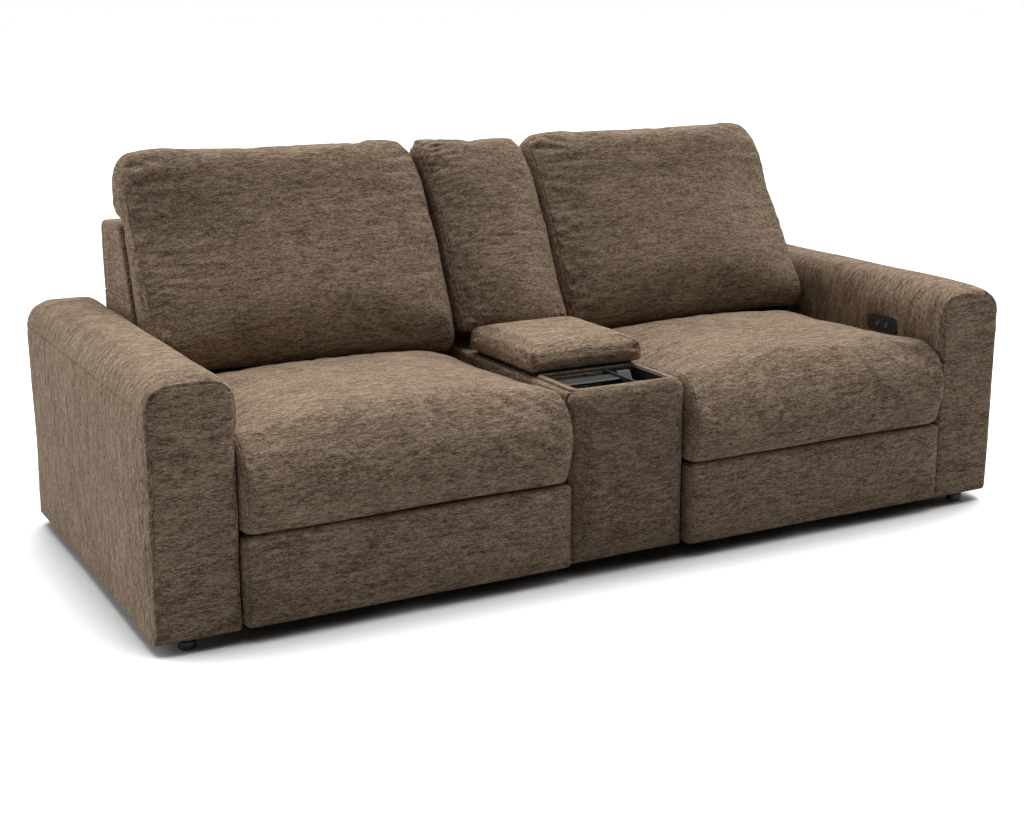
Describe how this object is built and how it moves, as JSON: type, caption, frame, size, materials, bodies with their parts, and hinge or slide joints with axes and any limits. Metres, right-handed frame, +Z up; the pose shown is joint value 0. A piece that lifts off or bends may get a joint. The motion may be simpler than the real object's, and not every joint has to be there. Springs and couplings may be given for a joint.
{
  "type": "reclining console loveseat",
  "caption": "Wide upholstered loveseat with rounded arms, power reclining seats with folding footrests and tilting headrests, and a padded storage console with a tray between the seats.",
  "frame": {"origin": "middle of the footprint, on the floor", "axes": "+X along the width to the right as seen from the front, +Y to the rear, +Z up"},
  "size_m": [2.36, 1.096, 0.9734],
  "materials": {
    "fabric": "taupe brown chenille with fine streaks",
    "wood": "raw plywood",
    "frame_steel": "black stove enamel",
    "bright_steel": "zinc plated",
    "black_plastic": "fine grained black",
    "button_plastic": "satin grey",
    "lid_board": "dark lining cloth over board"
  },
  "bodies": {
    "base": {"left_arm_cover": "fabric", "left_arm_frame": "wood", "left_front_foot": "black_plastic", "left_rear_foot": "black_plastic", "left_switch_plate": "black_plastic", "left_recline_motor": "black_plastic", "left_outer_track": "frame_steel", "left_inner_track": "frame_steel", "right_arm_cover": "fabric", "right_arm_frame": "wood", "right_front_foot": "black_plastic", "right_rear_foot": "black_plastic", "right_switch_plate": "black_plastic", "right_recline_motor": "black_plastic", "right_outer_track": "frame_steel", "right_inner_track": "frame_steel", "front_rail": "wood", "rear_panel": "fabric", "console_cabinet": "fabric", "console_front_panel": "fabric", "console_tray": "black_plastic", "console_hinge_rod": "bright_steel", "center_back_frame": "fabric", "center_back_cushion": "fabric"},
    "console_lid": {"console_lid_board": "lid_board", "console_lid_cushion": "fabric"},
    "left_seat": {"left_seat_deck": "wood", "left_seat_cushion": "fabric", "left_outer_plate": "frame_steel", "left_inner_plate": "frame_steel", "left_motor_rod": "bright_steel"},
    "left_drive_link": {"left_drive_link": "frame_steel"},
    "left_slot_link": {"left_slot_link": "frame_steel"},
    "left_lower_link": {"left_lower_link": "frame_steel"},
    "left_upper_link": {"left_upper_link": "frame_steel"},
    "left_footrest": {"left_footrest_frame": "frame_steel", "left_footrest_pad": "fabric"},
    "left_back": {"left_back_frame": "fabric", "left_back_cushion": "fabric"},
    "left_headrest": {"left_headrest_frame": "frame_steel", "left_headrest_cushion": "fabric"},
    "left_open_button": {"left_open_button": "button_plastic"},
    "left_close_button": {"left_close_button": "button_plastic"},
    "right_seat": {"right_seat_deck": "wood", "right_seat_cushion": "fabric", "right_outer_plate": "frame_steel", "right_inner_plate": "frame_steel", "right_motor_rod": "bright_steel"},
    "right_drive_link": {"right_drive_link": "frame_steel"},
    "right_slot_link": {"right_slot_link": "frame_steel"},
    "right_lower_link": {"right_lower_link": "frame_steel"},
    "right_upper_link": {"right_upper_link": "frame_steel"},
    "right_footrest": {"right_footrest_frame": "frame_steel", "right_footrest_pad": "fabric"},
    "right_back": {"right_back_frame": "fabric", "right_back_cushion": "fabric"},
    "right_headrest": {"right_headrest_frame": "frame_steel", "right_headrest_cushion": "fabric"},
    "right_open_button": {"right_open_button": "button_plastic"},
    "right_close_button": {"right_close_button": "button_plastic"}
  },
  "joints": [
    {"name": "console_lid_open", "type": "hinge", "parent": "base", "child": "console_lid", "pos_m": [0, -0.002, 0.52], "axis": [-1, 0, 0], "range_deg": [0, 88]},
    {"name": "left_seat_glide", "type": "slide", "parent": "base", "child": "left_seat", "axis": [0, -1, 0], "range_m": [0, 0.14]},
    {"name": "left_back_recline", "type": "hinge", "parent": "left_seat", "child": "left_back", "pos_m": [-0.5725, 0.218, 0.415], "axis": [-1, 0, 0], "range_deg": [0, 32]},
    {"name": "left_headrest_tilt", "type": "hinge", "parent": "left_back", "child": "left_headrest", "pos_m": [-0.5725, 0.268, 0.794], "axis": [1, 0, 0], "range_deg": [0, 32]},
    {"name": "left_footrest_drive", "type": "hinge", "parent": "left_seat", "child": "left_drive_link", "pos_m": [-0.5725, -0.38998, 0.21483], "axis": [-1, 0, 0], "range_deg": [0, 68]},
    {"name": "left_slot_link_turn", "type": "hinge", "parent": "left_drive_link", "child": "left_slot_link", "pos_m": [-0.5725, -0.41341, 0.13312], "axis": [-1, 0, 0], "range_deg": [-136.5, 0]},
    {"name": "left_upper_link_turn", "type": "hinge", "parent": "left_drive_link", "child": "left_upper_link", "pos_m": [-0.5725, -0.43684, 0.05141], "axis": [-1, 0, 0], "range_deg": [-136.5, 0]},
    {"name": "left_lower_link_turn", "type": "hinge", "parent": "left_slot_link", "child": "left_lower_link", "pos_m": [-0.5725, -0.41934, 0.21791], "axis": [-1, 0, 0], "range_deg": [0, 136.5]},
    {"name": "left_footrest_turn", "type": "hinge", "parent": "left_upper_link", "child": "left_footrest", "pos_m": [-0.5725, -0.4487, 0.221], "axis": [-1, 0, 0], "range_deg": [0, 156.5]},
    {"name": "left_open_button_press", "type": "slide", "parent": "base", "child": "left_open_button", "axis": [-1, 0, 0], "range_m": [0, 0.0011], "stiffness_N_per_m": 400},
    {"name": "left_close_button_press", "type": "slide", "parent": "base", "child": "left_close_button", "axis": [-1, 0, 0], "range_m": [0, 0.0011], "stiffness_N_per_m": 400},
    {"name": "right_seat_glide", "type": "slide", "parent": "base", "child": "right_seat", "axis": [0, -1, 0], "range_m": [0, 0.14]},
    {"name": "right_back_recline", "type": "hinge", "parent": "right_seat", "child": "right_back", "pos_m": [0.5725, 0.218, 0.415], "axis": [-1, 0, 0], "range_deg": [0, 32]},
    {"name": "right_headrest_tilt", "type": "hinge", "parent": "right_back", "child": "right_headrest", "pos_m": [0.5725, 0.268, 0.794], "axis": [1, 0, 0], "range_deg": [0, 32]},
    {"name": "right_footrest_drive", "type": "hinge", "parent": "right_seat", "child": "right_drive_link", "pos_m": [0.5725, -0.38998, 0.21483], "axis": [-1, 0, 0], "range_deg": [0, 68]},
    {"name": "right_slot_link_turn", "type": "hinge", "parent": "right_drive_link", "child": "right_slot_link", "pos_m": [0.5725, -0.41341, 0.13312], "axis": [-1, 0, 0], "range_deg": [-136.5, 0]},
    {"name": "right_upper_link_turn", "type": "hinge", "parent": "right_drive_link", "child": "right_upper_link", "pos_m": [0.5725, -0.43684, 0.05141], "axis": [-1, 0, 0], "range_deg": [-136.5, 0]},
    {"name": "right_lower_link_turn", "type": "hinge", "parent": "right_slot_link", "child": "right_lower_link", "pos_m": [0.5725, -0.41934, 0.21791], "axis": [-1, 0, 0], "range_deg": [0, 136.5]},
    {"name": "right_footrest_turn", "type": "hinge", "parent": "right_upper_link", "child": "right_footrest", "pos_m": [0.5725, -0.4487, 0.221], "axis": [-1, 0, 0], "range_deg": [0, 156.5]},
    {"name": "right_open_button_press", "type": "slide", "parent": "base", "child": "right_open_button", "axis": [1, 0, 0], "range_m": [0, 0.0011], "stiffness_N_per_m": 400},
    {"name": "right_close_button_press", "type": "slide", "parent": "base", "child": "right_close_button", "axis": [1, 0, 0], "range_m": [0, 0.0011], "stiffness_N_per_m": 400}
  ],
  "couplings": [
    {"joint": "left_back_recline", "follows": "left_seat_glide", "rad_per_m": 3.989},
    {"joint": "left_slot_link_turn", "follows": "left_footrest_drive", "ratio": -2},
    {"joint": "left_upper_link_turn", "follows": "left_footrest_drive", "ratio": -2},
    {"joint": "left_lower_link_turn", "follows": "left_footrest_drive", "ratio": 2},
    {"joint": "left_footrest_turn", "follows": "left_footrest_drive", "ratio": 2.294},
    {"joint": "right_back_recline", "follows": "right_seat_glide", "rad_per_m": 3.989},
    {"joint": "right_slot_link_turn", "follows": "right_footrest_drive", "ratio": -2},
    {"joint": "right_upper_link_turn", "follows": "right_footrest_drive", "ratio": -2},
    {"joint": "right_lower_link_turn", "follows": "right_footrest_drive", "ratio": 2},
    {"joint": "right_footrest_turn", "follows": "right_footrest_drive", "ratio": 2.294}
  ]
}
